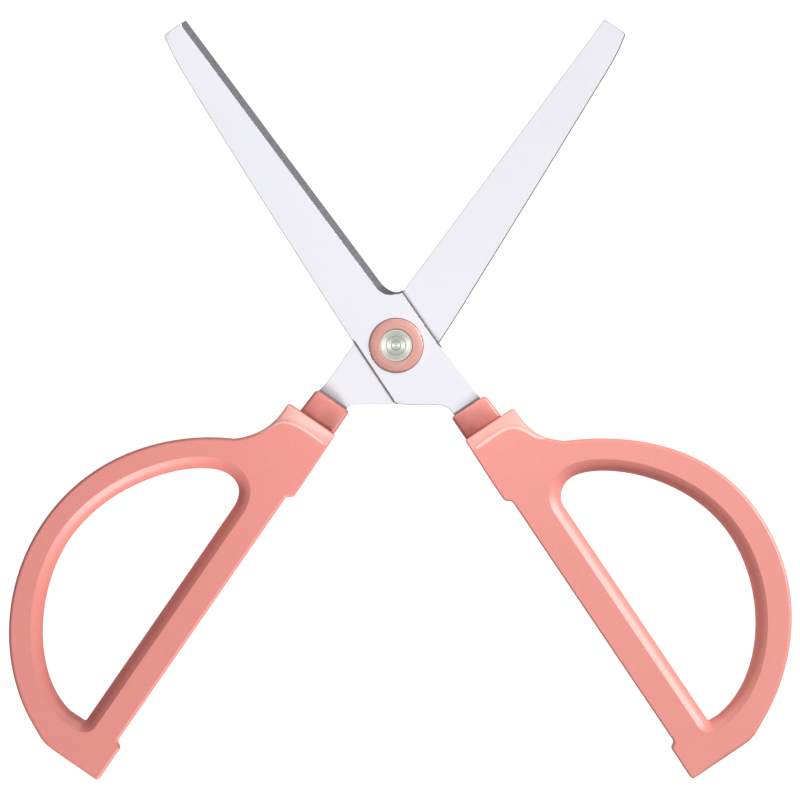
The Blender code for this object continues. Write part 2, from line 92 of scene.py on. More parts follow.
REAR = {
    "tip_x": 2.72, "root_x": 4.85, "tip_spine": (-2.35, 76.5), "tip_round": 0.7,
    "spine": [(-3.0, 73.5), (-3.42, 70.0), (-4.0, 60.0), (-5.1, 40.0), (-6.13, 20.0), (-6.66, 8.6)],
    "spine_foot": (-6.9, -9.4),
    "ricasso_x": 7.0, "waist": (7.08, -13.2), "shank_out": (7.5, -16.2),
    "shank_in": (0.85, -16.0),
    "crotch": [(0.85, -15.5), (0.52, -15.0), (0.09, -14.5), (-0.45, -14.0), (-1.65, -13.0), (-4.5, -11.0)],
    "neck_x": (0.13, 7.98), "neck_y": -16.0, "shoulder_y": -21.3,
    "pad_x": -0.3, "recess_x": 0.84, "nub_x": -0.45, "step_y": -36.3, "end_y": -104.15,
    "shoulder_out": 11.0,
    "outer": [((11.02, -23.4), (11.02, -27.5), (13.05, -31.0), (16.0, -33.43)),
              ((16.0, -33.43), (26.0, -38.7), (37.48, -50.7), (37.48, -67.9)),
              ((37.48, -67.9), (37.48, -82.1), (29.8, -95.1), (18.0, -101.5))],
    "end_x": 12.0,
    "hole_x": 8.24, "hole_top": (12.75, -39.73), "hole_right": (31.34, -68.0),
    "hole_low": (12.0, -96.0),
    "hole_start": -44.9, "hole": [(3.3, 3.1), (6.1, 14.8), (12.1, 10.4), 1.75],
    "low_inner": 0.3,
    "eased": [("inner", -1, -9.9, 76.6, 0.22, 0.5)],
    "ridge": [(-4.0, -24.15), (0.5, -24.15), (2.8, -24.05), (5.4, -24.08), (7.4, -24.25), (8.85, -24.7),
              (10.0, -25.4), (10.82, -26.5), (11.5, -27.8), (12.2, -29.1), (13.2, -30.1), (16.0, -30.2), (60.0, -26.0)],
}

RING_R = 5.3
GROOVE_R = 5.39          # relief cut in the blade round the ring
RING_SEAT_R = 3.42
RING_FLOOR = 2.45
GROOVE_HALF = 0.075
HEAD_R = 3.27
HEAD_TOP = 3.32
REAR_FACE = 3.5

FRONT_PLACE = Matrix.Translation((0, 0, MID_Z * MM)) @ Matrix.Rotation(math.radians(OPEN_FRONT), 4, "Z")
REAR_PLACE = (Matrix.Translation((0, 0, MID_Z * MM)) @ Matrix.Rotation(-math.radians(OPEN_REAR), 4, "Z")
              @ Matrix.Rotation(math.pi, 4, "Y"))


# ---------------------------------------------------------------- outlines
def bezier(p0, p1, p2, p3, count):
    """Points along one cubic curve, without its first point."""
    t = np.arange(1, count + 1)[:, None] / count
    s = 1.0 - t
    p0, p1, p2, p3 = (np.array(p, float) for p in (p0, p1, p2, p3))
    return [tuple(p) for p in s**3 * p0 + 3 * s * s * t * p1 + 3 * s * t * t * p2 + t**3 * p3]


def flowing(points, count=6):
    """A smooth curve through the points, both ends included."""
    p = [np.array(q[:2], float) for q in points]
    p = [2 * p[0] - p[1]] + p + [2 * p[-1] - p[-2]]
    out = [tuple(p[1])]
    for i in range(1, len(p) - 2):
        a, b, c, d = p[i - 1], p[i], p[i + 1], p[i + 2]
        gap = np.linalg.norm(c - b)
        before, after = np.linalg.norm(b - a), np.linalg.norm(d - c)
        m0 = (c - a) / (gap + before) * gap
        m1 = (d - b) / (gap + after) * gap
        for k in range(1, count + 1):
            t = k / count
            h = (2 * t**3 - 3 * t**2 + 1, t**3 - 2 * t**2 + t, -2 * t**3 + 3 * t**2, t**3 - t**2)
            out.append(tuple(h[0] * b + h[1] * m0 + h[2] * c + h[3] * m1))
    return out


def rounded(corners, steps=7):
    """A closed outline: (x, y) stays, (x, y, r) becomes an arc of radius r."""
    out = []
    n = len(corners)
    for i, c in enumerate(corners):
        if len(c) == 2:
            out.append((c[0], c[1]))
            continue
        here = Vector(c[:2])
        back = Vector(corners[i - 1][:2]) - here
        ahead = Vector(corners[(i + 1) % n][:2]) - here
        angle = back.angle(ahead)
        reach = min(c[2] / math.tan(angle / 2), 0.49 * back.length, 0.49 * ahead.length)
        radius = reach * math.tan(angle / 2)
        centre = here + (back.normalized() + ahead.normalized()).normalized() * (radius / math.sin(angle / 2))
        a = here + back.normalized() * reach - centre
        b = here + ahead.normalized() * reach - centre
        turn = a.angle_signed(b)
        for k in range(steps + 1):
            p = centre + Matrix.Rotation(-turn * k / steps, 2) @ a
            out.append((p.x, p.y))
    return out


def dense(loop, step, closed=True):
    """More points on long stretches. step is a length or a function of a point."""
    pts = [np.array(p[:2], float) for p in loop]
    ends = pts[1:] + ([pts[0]] if closed else [])
    out = []
    for a, b in zip(pts, ends):
        length = np.linalg.norm(b - a)
        if length < 1e-4:
            continue
        want = step((a + b) / 2) if callable(step) else step
        n = max(1, math.ceil(length / want))
        out += [a + (b - a) * k / n for k in range(n)]
    if not closed:
        out.append(pts[-1])
    return np.array(out)


def anticlockwise(loop):
    x, y = loop[:, 0], loop[:, 1]
    area = (x * np.roll(y, -1) - np.roll(x, -1) * y).sum()
    return loop if area > 0 else loop[::-1].copy()


def unit(v):
    return v / np.maximum(np.linalg.norm(v, axis=-1, keepdims=True), 1e-12)


def outwards(loop):
    """The outward direction at each point of an anticlockwise loop."""
    before, after = unit(loop - np.roll(loop, 1, 0)), unit(np.roll(loop, -1, 0) - loop)
    a = np.stack([before[:, 1], -before[:, 0]], 1)
    b = np.stack([after[:, 1], -after[:, 0]], 1)
    middle = unit(a + b)
    return middle, np.maximum((middle * a).sum(1), 0.5)


def distance(points, line, closed=True, more=False):
    """Distance from each point to a line. With more, also which stretch is
    nearest, how far along it, and on which side (left is positive)."""
    a = line if closed else line[:-1]
    b = np.roll(line, -1, 0) if closed else line[1:]
    ab = b - a
    size = np.maximum((ab**2).sum(1), 1e-12)
    best, index, along = (np.empty(len(points)), np.empty(len(points), int), np.empty(len(points)))
    for i in range(0, len(points), 2500):
        ap = points[i:i + 2500, None, :] - a[None]
        t = np.clip((ap * ab).sum(2) / size, 0.0, 1.0)
        gap = ((ap - t[..., None] * ab) ** 2).sum(2)
        k = gap.argmin(1)
        rows = np.arange(len(k))
        best[i:i + 2500] = np.sqrt(gap[rows, k])
        index[i:i + 2500] = k
        along[i:i + 2500] = t[rows, k]
    if not more:
        return best
    ap = points - a[index]
    side = np.sign(ab[index, 0] * ap[:, 1] - ab[index, 1] * ap[:, 0])
    return best, index, along, side


def inside(points, loop):
    x, y = points[:, 0][:, None], points[:, 1][:, None]
    ax, ay = loop[:, 0], loop[:, 1]
    bx, by = np.roll(ax, -1), np.roll(ay, -1)
    out = np.empty(len(points), bool)
    for i in range(0, len(points), 4000):
        xi, yi = x[i:i + 4000], y[i:i + 4000]
        crosses = (ay > yi) != (by > yi)
        cut = ax + (yi - ay) / np.where(by == ay, 1e-12, by - ay) * (bx - ax)
        out[i:i + 4000] = (crosses & (xi < cut)).sum(1) % 2 == 1
    return out


def ring_of(loop, by):
    """The loop moved outwards by a distance, without points that cross over."""
    middle, spread = outwards(loop)
    moved = loop + middle * (by / spread)[:, None]
    moved = moved[distance(moved, loop) > abs(by) * 0.98 - 0.004]
    out = [moved[0]]
    for p in moved[1:]:
        if np.linalg.norm(p - out[-1]) > 0.05:
            out.append(p)
    return np.array(out)


def hexes(low, high, step):
    rows = []
    for j, y in enumerate(np.arange(low[1], high[1], step * 0.866)):
        xs = np.arange(low[0] + (j % 2) * step / 2, high[0], step)
        rows.append(np.stack([xs, np.full(len(xs), y)], 1))
    return np.concatenate(rows)


def eased_drop(d, r):
    """How far a rounded edge of radius r lies below the face, d from the wall."""
    k = np.clip((r - d) / r, 0.0, 1.0)
    return r * (1.0 - np.sqrt(np.maximum(1.0 - k * k, 0.0)))


def finished(name, mesh):
    """The mesh as an object, with each point's place in the half frame kept
    in mm for the materials."""
    places = np.empty(len(mesh.vertices) * 3, np.float32)
    mesh.vertices.foreach_get("co", places)
    kept = mesh.attributes.new("half_mm", "FLOAT_VECTOR", "POINT")
    kept.data.foreach_set("vector", places * 1000.0)
    piece = bpy.data.objects.new(name, mesh)
    bpy.context.scene.collection.objects.link(piece)
    return piece


# ---------------------------------------------------------------- solid plates
def plate(name, outer, holes, top, bottom, rings, hole_rings, lines, scatter, kind=None,
          parting=0.0, rows=2):
    """A closed piece between two height surfaces over a flat outline.

    outer and holes are anticlockwise loops in mm. top(points) and
    bottom(points) give heights. rings and hole_rings are distances from the
    walls where the surfaces need points, lines are creases, scatter is the
    rest. kind(points) numbers the materials of the top faces, the bottom
    faces and the walls."""
    loops = [outer] + [ring_of(outer, -d) for d in rings]
    for hole, reach in zip(holes, hole_rings):
        loops += [hole] + [ring_of(hole, d) for d in reach]
    points, edges = [], []
    for loop in loops:
        n = len(points)
        points += list(loop)
        edges += [(n + i, n + (i + 1) % len(loop)) for i in range(len(loop))]
    for line in lines:
        n = len(points)
        points += list(line)
        edges += [(n + i, n + i + 1) for i in range(len(line) - 1)]
    points += list(scatter)
    found = delaunay_2d_cdt([Vector((float(p[0]), float(p[1]))) for p in points], edges, [], 0, 1e-5)
    flat = np.array([(v.x, v.y) for v in found[0]])
    faces = np.array([f for f in found[2] if len(f) == 3])
    centres = flat[faces].mean(1)
    keep = inside(centres, outer)
    for hole in holes:
        keep &= ~inside(centres, hole)
    a, b, c = (flat[faces[:, k]] for k in range(3))
    area = (b[:, 0] - a[:, 0]) * (c[:, 1] - a[:, 1]) - (b[:, 1] - a[:, 1]) * (c[:, 0] - a[:, 0])
    keep &= np.abs(area) > 1e-9
    faces, area = faces[keep], area[keep]
    faces[area < 0] = faces[area < 0][:, ::-1]
    used = np.unique(faces)
    renumber = np.full(len(flat), -1)
    renumber[used] = np.arange(len(used))
    flat, faces = flat[used], renumber[faces]
    n = len(flat)

    # the boundary: directed edges that only one face has
    directed = {}
    for f in faces:
        for i in range(3):
            directed[(f[i], f[(i + 1) % 3])] = True
    border = [e for e in directed if (e[1], e[0]) not in directed]
    out_dir = np.zeros((n, 2))
    for i, j in border:
        d = unit(flat[j] - flat[i])
        for k in (i, j):
            out_dir[k] += (d[1], -d[0])
    rim = np.unique([k for e in border for k in e])
    out_dir[rim] = unit(out_dir[rim])

    def normals(surface, side):
        at = flat - out_dir * 0.02
        h = 0.004
        gx = (surface(at + (h, 0.0)) - surface(at - (h, 0.0))) / (2 * h)
        gy = (surface(at + (0.0, h)) - surface(at - (0.0, h))) / (2 * h)
        found_normals = unit(np.stack([-gx, -gy, np.ones(n)], 1)) * side
        steep = np.abs(found_normals[:, 2]) < 0.5
        steep &= np.abs(out_dir).sum(1) > 0
        found_normals[steep] = np.concatenate([out_dir[steep], np.zeros((steep.sum(), 1))], 1)
        return found_normals

    z_top, z_low = top(flat), bottom(flat)
    vertices = [np.concatenate([flat, z_top[:, None]], 1), np.concatenate([flat, z_low[:, None]], 1)]
    shading = [normals(top, 1.0), normals(bottom, -1.0)]
    polygons = [tuple(f) for f in faces] + [tuple(f[::-1] + n) for f in faces]
    indices = [0] * len(polygons)
    if kind is not None:
        which = kind(flat[faces].mean(1))
        indices[:len(faces)] = [int(k) for k in which[0]]
        indices[len(faces):] = [int(k) for k in which[1]]

    # walls, in rows from the top down, with a fine parting line at half height
    fractions = [k / (rows + 1) for k in range(1, rows + 1)]
    column = {}
    extra, extra_normals = [], []
    base = 2 * n
    for k in rim:
        hi, lo = z_top[k], z_low[k]
        mid = 0.5 * (hi + lo)
        heights = []
        if parting > 0.0:
            w = parting * 1.6
            heights = [(mid + (hi - mid) * 0.55, 0.0), (mid + w, 0.0), (mid, parting),
                       (mid - w, 0.0), (mid + (lo - mid) * 0.55, 0.0)]
        else:
            heights = [(hi + (lo - hi) * f, 0.0) for f in fractions]
        column[k] = [k] + [base + len(extra) + i for i in range(len(heights))] + [n + k]
        for z, cut_in in heights:
            extra.append((*(flat[k] - out_dir[k] * cut_in), z))
            extra_normals.append((0.0, 0.0, 0.0) if cut_in or parting > 0 else (*out_dir[k], 0.0))
    wall_kind = 0 if kind is None else which[2]
    for i, j in border:
        for p, q, r, s in zip(column[j], column[i], column[i][1:], column[j][1:]):
            polygons.append((p, q, r, s))
            indices.append(wall_kind)
    if extra:
        vertices.append(np.array(extra))
        shading.append(np.array(extra_normals))
    vertices = np.concatenate(vertices)
    shading = np.concatenate(shading)

    mesh = bpy.data.meshes.new(name)
    mesh.from_pydata([tuple(v) for v in vertices * MM], [], [tuple(int(k) for k in p) for p in polygons])
    mesh.polygons.foreach_set("material_index", indices)
    mesh.polygons.foreach_set("use_smooth", [True] * len(polygons))
    wall_distance = np.zeros(len(vertices))
    gap = distance(flat, outer)
    for hole in holes:
        gap = np.minimum(gap, distance(flat, hole))
    wall_distance[:n] = gap
    wall_distance[n:2 * n] = gap
    edge_wear_and_shade = mesh.attributes.new("wall_mm", "FLOAT", "POINT")
    edge_wear_and_shade.data.foreach_set("value", wall_distance.astype(np.float32))
    mesh.update()
    mesh.normals_split_custom_set_from_vertices([tuple(v) for v in shading])
    mesh.update()
    return finished(name, mesh)


# ---------------------------------------------------------------- handles
def handle_outline(d):
    end, step = d["end_y"], d["step_y"]
    corners = [(d["pad_x"] + 0.1, d["shoulder_y"], 0.55), (d["shoulder_out"], d["shoulder_y"] - 0.05, 0.75)]
    corners += [tuple(d["outer"][0][0])]
    for segment, count in zip(d["outer"], (18, 48, 42)):
        corners += bezier(*segment, count)
    corners += [(d["end_x"] + 1.6, end + 0.55), (d["end_x"], end + 0.1), (d["end_x"] - 1.6, end),
                (d["nub_x"] - 0.02, end, 0.7)]
    corners += [(d["nub_x"] + 0.05, -96.35, 0.62), (d["recess_x"], -95.7, 0.8),
                (d["recess_x"], step - 0.75, 0.9), (d["pad_x"] - 0.08, step + 0.25, 0.8),
                (d["pad_x"] - 0.1, -33.0), (d["pad_x"], -28.0)]
    near = d["shoulder_y"] - 9.0
    return anticlockwise(dense(rounded(corners), lambda p: 0.28 if p[1] > near else 0.6))


def hole_outline(d):
    x, (tx, ty), (rx, ry), (lx, ly) = d["hole_x"], d["hole_top"], d["hole_right"], d["hole_low"]
    (a, b), (c, e), (f, g), h = d["hole"]
    start = (x, d["hole_start"])
    corners = [start]
    corners += bezier(start, (x, start[1] + a), (tx - b, ty), (tx, ty), 18)
    corners += bezier((tx, ty), (tx + c, ty), (rx, ry + e), (rx, ry), 44)
    corners += bezier((rx, ry), (rx, ry - f), (lx + g, ly + h), (lx, ly), 44)
    corners += [(x + 1.0, ly + 0.05), (x, ly + 0.05, 0.9), (x, ly + 3.5)]
    return anticlockwise(dense(rounded(corners), 0.6))


def build_handle(name, d):
    outer, hole = handle_outline(d), hole_outline(d)
    ridge = np.array(flowing(d["ridge"], 8))
    # the rim's slope grows slowly at first and quickly towards the hole
    across = np.linspace(0.0, 1.0, 401)
    tilt = np.radians(RIM_START + (RIM_END - RIM_START) * across**1.9)
    fall = np.concatenate([[0.0], np.cumsum((np.tan(tilt[1:]) + np.tan(tilt[:-1])) / 2 * RIM_W / 400)])

    def rim_drop(gap):
        return np.interp(np.clip(1.0 - gap / RIM_W, 0.0, 1.0), across, fall)

    def slope_drop(p):
        gap, _, _, side = distance(p, ridge, closed=False, more=True)
        s = gap * side
        b = RIDGE_HALF
        return SLOPE * np.where(s > b, s, np.where(s < -b, 0.0, (s + b) ** 2 / (4 * b)))

    def edge_radius(p):
        t = np.clip((p[:, 1] - (d["shoulder_y"] - 1.8)) / 1.2, 0.0, 1.0)
        u = (np.clip((p[:, 1] - (d["step_y"] - 0.2)) / 0.7, 0.0, 1.0)
             * np.clip((d["pad_x"] + 3.0 - p[:, 0]) / 1.5, 0.0, 1.0))
        low = d["low_inner"] * np.clip((d["pad_x"] + 3.5 - p[:, 0]) / 1.5, 0.0, 1.0)
        k = np.maximum(np.maximum(t * t * (3 - 2 * t), u), low)
        return HANDLE_EDGE - 0.34 * k

    def top(p):
        return (HANDLE_HALF_T - slope_drop(p) - eased_drop(distance(p, outer), edge_radius(p))
                - rim_drop(distance(p, hole)))

    rings = [HANDLE_EDGE * (1 - math.cos(math.radians(a))) for a in (14, 27, 40, 53, 66, 78, 90)]
    rings.append(HANDLE_EDGE + 0.12)
    reach = [RIM_W * (1.0 - f) for f in (0.985, 0.96, 0.92, 0.87, 0.81, 0.74, 0.66, 0.56, 0.44, 0.30, 0.14, 0.01)]
    reach.append(RIM_W + 0.03)

    # rows of points along both sides of the shoulder's ridge
    lines = []
    middle = unit(np.gradient(ridge, axis=0))
    left = np.stack([-middle[:, 1], middle[:, 0]], 1)
    clear = HANDLE_EDGE + 0.2
    for s in (-1.0, -0.65, -0.3, 0.0, 0.3, 0.65, 1.0, 1.6):
        path = dense(ridge + left * s * RIDGE_HALF, 0.35, closed=False)
        good = inside(path, outer) & (distance(path, outer) > clear)
        run = []
        for p, ok in zip(path, good):
            if ok:
                run.append(p)
            elif run:
                if len(run) > 2:
                    lines.append(np.array(run))
                run = []
    low, high = outer.min(0), outer.max(0)
    near = hexes((low[0], d["shoulder_y"] - 9.0), high, 0.5)
    far = hexes(low, high, 1.7)
    far = far[far[:, 1] < d["shoulder_y"] - 9.3]
    scatter = np.concatenate([near, far])
    scatter = scatter[inside(scatter, outer)]
    gap = distance(scatter, ridge, closed=False)
    scatter = scatter[(distance(scatter, outer) > clear + 0.2) & (distance(scatter, hole) > RIM_W + 0.4)
                      & (gap > RIDGE_HALF * 1.6 + 0.2)]
    scatter = scatter[~inside(scatter, hole)]
    piece = plate(name, outer, [hole], top, lambda p: -top(p), rings, [reach], lines, scatter, parting=0.07)
    # Masks for the painted light on the slope and the painted highlight along the ridge: ridge_mm is the distance from
    # the ridge, slope_mm the signed distance onto the slope.
    at = np.empty(len(piece.data.vertices) * 3)
    piece.data.vertices.foreach_get("co", at)
    at = at.reshape(-1, 3)[:, :2] / MM
    away = distance(at, ridge, closed=False)
    away += np.clip(d["pad_x"] + 1.15 - at[:, 0], 0.0, 1.0)
    kept = piece.data.attributes.new("ridge_mm", "FLOAT", "POINT")
    kept.data.foreach_set("value", away.astype(np.float32))
    gap, _, _, side = distance(at, ridge, closed=False, more=True)
    outer_part = np.clip((at[:, 0] - d["pad_x"]) / (d["shoulder_out"] - d["pad_x"]), 0.0, 1.0)
    kept = piece.data.attributes.new("slope_mm", "FLOAT", "POINT")
    kept.data.foreach_set("value", (gap * side * (0.3 + 0.7 * outer_part)).astype(np.float32))
    return piece


# ---------------------------------------------------------------- blades
def build_blade(name, d):
    x0, x1 = d["neck_x"]
    mid = (x0 + x1) / 2 + 0.1
    half, end = 2.3, 1.7
    sx, sy = d["shank_in"]
    ox, oy = d["shank_out"]
    y_in = d["neck_y"] - 1.6
    notch = [(d["root_x"] + 0.10, 11.2), (4.86, 10.15), (5.38, 9.25), (5.93, 8.72), (6.6, 8.42),
             (d["ricasso_x"] - 0.02, 8.36)]
    corners = [(d["tip_x"], TIP_Y), (d["root_x"], 12.0)] + flowing(notch, 6)
    corners += flowing([(d["ricasso_x"] + 0.06, 8.26), (d["ricasso_x"] + 0.1, 5.0), d["waist"], (ox, oy)], 6)
    corners += [(ox, y_in, 0.4), (mid + half, y_in - 1.0, 0.4),
                (mid + half, -27.0), (mid + end, -45.0, 0.6), (mid + end - 0.8, -46.0, 0.6),
                (mid - end + 0.8, -46.0, 0.6), (mid - end, -45.0, 0.6), (mid - half, -27.0),
                (mid - half, y_in - 1.0, 0.4), (sx, y_in, 0.4)]
    corners += flowing([(sx, sy)] + d["crotch"] + [(d["spine_foot"][0] + 0.14, d["spine_foot"][1] - 0.03)], 5)
    corners += flowing([(d["spine_foot"][0] + 0.01, d["spine_foot"][1] + 0.12)] + d["spine"][::-1], 5)
    corners += [(d["tip_spine"][0], d["tip_spine"][1], d["tip_round"])]
    outer = anticlockwise(dense(rounded(corners, 6), 0.6))
    pivot = np.array([(3.1 * math.cos(a), 3.1 * math.sin(a)) for a in np.linspace(0, 2 * math.pi, 73)[:-1]])
    lock = np.array([(mid + 1.1 * math.cos(a), -40.5 + 1.1 * math.sin(a)) for a in np.linspace(0, 2 * math.pi, 33)[:-1]])

    # the ground bevel: a line along the cutting edge, and its width there
    run = [((d["tip_x"] - 0.15, TIP_Y + 3.0), GRIND_W), ((d["root_x"], 12.0), GRIND_W)]
    run += list(zip([tuple(p) for p in notch], (1.36, 1.18, 0.74, 0.3, 0.13, 0.06)))
    line = np.array(flowing([p for p, _ in run], 6))
    width = np.interp(np.arange(len(line)) / 6.0, np.arange(len(run)), [w for _, w in run])
    steep = GRIND_RISE / GRIND_W

    def grind_drop(p):
        gap, index, along, _ = distance(p, line, closed=False, more=True)
        w = width[index] * (1 - along) + width[index + 1] * along
        return np.maximum(w - gap, 0.0) * steep, gap, w

    def easing(p, face):
        """Width of the filed easing along the outline, zero where there is none."""
        out = np.zeros(len(p))
        for on, side, y_low, y_high, w, fade in d["eased"]:
            if on != face:
                continue
            here = (p[:, 0] * side > 1.5)
            t = np.clip(np.minimum(p[:, 1] - y_low, y_high - p[:, 1]) / fade, 0.0, 1.0)
            out = np.maximum(out, np.where(here, w * t, 0.0))
        return out

    def groove(p):
        return np.maximum(GROOVE_HALF - np.abs(np.hypot(p[:, 0], p[:, 1]) - GROOVE_R), 0.0) * 2.0

    def top(p):
        gap = distance(p, outer)
        eased_edge = np.maximum(easing(p, "outer") - gap, 0.0) * 1.8
        drop = np.maximum(grind_drop(p)[0], eased_drop(gap, BLADE_EDGE))
        return BLADE_OUT - np.maximum(np.maximum(drop, eased_edge), groove(p))

    def bottom(p):
        gap = distance(p, outer)
        return BLADE_IN + np.maximum(eased_drop(gap, 0.05), np.maximum(easing(p, "inner") - gap, 0.0) * 1.8)

    def kind(p):
        _, gap, w = grind_drop(p)
        ground = (gap < w) & (w > 0.08)
        # Painted shadow lines: the chamfers along the edges and the groove round the ring take the dark side-wall
        # steel, standing in for the shade between the blades and round the ring.
        shadow_line_faces = (distance(p, outer) < easing(p, "outer") - 0.01) | (groove(p) > 0.02)
        under = distance(p, outer) < easing(p, "inner") - 0.01
        return np.where(ground, 1, np.where(shadow_line_faces, 2, 0)), np.where(under, 2, 0), 2

    rings = [BLADE_EDGE * (1 - math.cos(math.radians(a))) for a in (35, 62, 90)]
    rings = [0.05 if abs(r - 0.05) < 0.012 else r for r in rings]
    lines = []
    inward = -outwards(outer)[0]
    for face in ("outer", "inner"):
        crease = outer + inward * easing(outer, face)[:, None]
        for _ in range(4):
            crease = crease + inward * (easing(crease, face) - distance(crease, outer))[:, None] * 0.9
        for extra in (-0.02, 0.02):
            path = crease + inward * extra
            good = (easing(crease, face) > 0.06) & (distance(path, outer) > 0.03)
            run = []
            for q, ok in zip(path, good):
                if ok:
                    run.append(q)
                elif run:
                    if len(run) > 2:
                        lines.append(np.array(run))
                    run = []
            if len(run) > 2:
                lines.append(np.array(run))
    for r in [GROOVE_R + k for k in (-GROOVE_HALF - 0.02, -GROOVE_HALF + 0.02, -0.02, 0.02, GROOVE_HALF - 0.02,
                                     GROOVE_HALF + 0.02)]:
        turn = np.linspace(0, 2 * math.pi, 109)[:-1]
        circle = np.stack([r * np.cos(turn), r * np.sin(turn)], 1)
        lines.append(np.concatenate([circle, circle[:1] + (0.0, 1e-4)]))
    along = unit(np.gradient(line, axis=0))
    right = np.stack([along[:, 1], -along[:, 0]], 1)   # the run goes from the tip down, so its right is the blade
    crease = line + right * width[:, None]
    for _ in range(4):
        _, gap, w = grind_drop(crease)
        crease = crease + right * (w - gap)[:, None] * 0.9
    for extra in (-0.02, 0.02):
        path = dense(crease + right * extra, 0.8, closed=False)
        path = path[inside(path, outer) & (distance(path, outer) > BLADE_EDGE + 0.03)]
        lines.append(path)
    low, high = outer.min(0), outer.max(0)
    scatter = hexes(low, high, 2.6)
    scatter = scatter[inside(scatter, outer)]
    scatter = scatter[(distance(scatter, outer) > 0.6) & (distance(scatter, line, closed=False) > GRIND_W + 0.5)
                      & (np.abs(np.hypot(scatter[:, 0], scatter[:, 1]) - GROOVE_R) > 0.4)]
    for hole in (pivot, lock):
        scatter = scatter[~inside(scatter, hole) & (distance(scatter, hole) > 0.5)]
    return plate(name, outer, [pivot, lock], top, bottom, rings, [[], []], lines, scatter, kind=kind, rows=1)


# ---------------------------------------------------------------- neck sleeves
def build_sleeve(name, d):
    """A crowned collar round the tang. It sinks a little towards the shoulder."""
    x0, x1 = d["neck_x"]
    y0, y1 = d["neck_y"], d["shoulder_y"]
    corners = [(x0, y1 - 1.2), (x1 + 0.28, y1 - 1.2), (x1 + 0.28, y1), (x1, y0, 0.9), (x0, y0, 0.5), (x0, y1)]
    outer = anticlockwise(dense(rounded(corners, 7), 0.3))
    length = y0 - y1
    centre = (x0 + x1) / 2 + 0.1
    half = (x1 - x0) / 2

    def top(p):
        t = np.clip((y0 - p[:, 1]) / length, 0.0, 1.3)
        u = (p[:, 0] - centre) / half
        face = 3.2 - 0.55 * t**1.6 - 0.42 * np.abs(u) ** 2.6 + 0.10 * u
        return face - eased_drop(distance(p, outer), 0.6)

    rings = [0.6 * (1 - math.cos(math.radians(a))) for a in (15, 30, 45, 60, 75, 90)]
    low, high = outer.min(0), outer.max(0)
    scatter = hexes(low, high, 0.42)
    scatter = scatter[inside(scatter, outer)]
    scatter = scatter[distance(scatter, outer) > 0.85]
    return plate(name, outer, [], top, lambda p: -top(p), rings, [], [], scatter, parting=0.06)


# ---------------------------------------------------------------- turned pieces
def turned(name, profile, steps=144, sharp=38.0):
    """A turned piece from (radius, z) in mm, from the top axis or inner edge
    down the outer side. It closes on itself unless it starts on the axis."""
    profile = [(float(r), float(z)) for r, z in profile]
    solid = profile[0][0] < 1e-6
    rings, vertices, polygons = [], [], []
    angles = np.linspace(0, 2 * math.pi, steps + 1)[:-1]
    for r, z in profile:
        if r < 1e-6:
            rings.append([len(vertices)] * steps)
            vertices.append((0.0, 0.0, z))
        else:
            rings.append(list(range(len(vertices), len(vertices) + steps)))
            vertices += [(r * math.cos(a), r * math.sin(a), z) for a in angles]
    pairs = list(zip(rings, rings[1:]))
    if not solid:
        pairs.append((rings[-1], rings[0]))
    for up, down in pairs:
        for k in range(steps):
            m = (k + 1) % steps
            quad = [up[k], down[k], down[m], up[m]]
            clean = [q for i, q in enumerate(quad) if q != quad[i - 1]]
            if len(clean) > 2:
                polygons.append(tuple(clean))
    mesh = bpy.data.meshes.new(name)
    mesh.from_pydata([tuple(c * MM for c in v) for v in vertices], [], polygons)
    mesh.polygons.foreach_set("use_smooth", [True] * len(polygons))
    mesh.update()
    mesh.set_sharp_from_angle(angle=math.radians(sharp))
    return finished(name, mesh)


def arc(cx, cz, r, start, end, count):
    return [(cx + r * math.cos(math.radians(a)), cz + r * math.sin(math.radians(a)))
            for a in np.linspace(start, end, count)]


def build_ring(name, top):
    """A gently domed washer that closes round the rivet's head."""
    low = BLADE_OUT + 0.02
    seat = HEAD_R + 0.03
    profile = [(seat, RING_FLOOR), (seat, top - 0.07)]
    profile += arc(seat + 0.06, top - 0.07, 0.06, 180, 95, 5)[1:]
    for t in np.linspace(0.0, 1.0, 14):
        r = seat + 0.22 + t * (RING_R - 0.46 - seat - 0.22)
        step = 0.035 * math.exp(-((r - seat - 0.52) / 0.12) ** 2)
        profile.append((r, top - 0.01 - 0.17 * t**2.2 - step))
    start = profile[-1]
    profile += arc(RING_R - 0.42, start[1] - 0.42, 0.42, 78, 0, 9)
    profile += [(RING_R, low + 0.16), (RING_R - 0.12, low), (2.8, low), (2.8, BLADE_IN + 0.3),
                (2.3, BLADE_IN + 0.3), (2.3, RING_FLOOR)]
    return turned(name, profile)


def lathe_marks(r0, r1, z0, z1, pitch, depth):
    """The fine steps that a lathe leaves across a face, from r0 out to r1."""
    out = []
    n = max(1, round((r1 - r0) / pitch))
    for k in range(n):
        t0, t1 = k / n, (k + 0.5) / n
        out.append((r0 + (r1 - r0) * t0, z0 + (z1 - z0) * t0))
        out.append((r0 + (r1 - r0) * t1, z0 + (z1 - z0) * t1 - depth))
    out.append((r1, z1))
    return out


def build_rivet(name):
    top = HEAD_TOP
    profile = [(0.0, top - 0.13)] + lathe_marks(0.14, 0.85, top - 0.12, top - 0.12, 0.16, 0.016)
    profile += [(0.95, top - 0.06)] + lathe_marks(1.05, 1.85, top - 0.05, top - 0.05, 0.17, 0.017)
    profile += [(1.95, top - 0.005)] + lathe_marks(2.05, 2.85, top, top - 0.01, 0.18, 0.018)
    profile += [(3.1, top - 0.01), (3.2, top - 0.04), (HEAD_R, top - 0.12), (HEAD_R, 2.75), (2.0, 2.75),
                (2.0, -RING_FLOOR), (1.4, -RING_FLOOR), (1.4, -2.9), (0.0, -2.9)]
    return turned(name, profile, sharp=6.0)


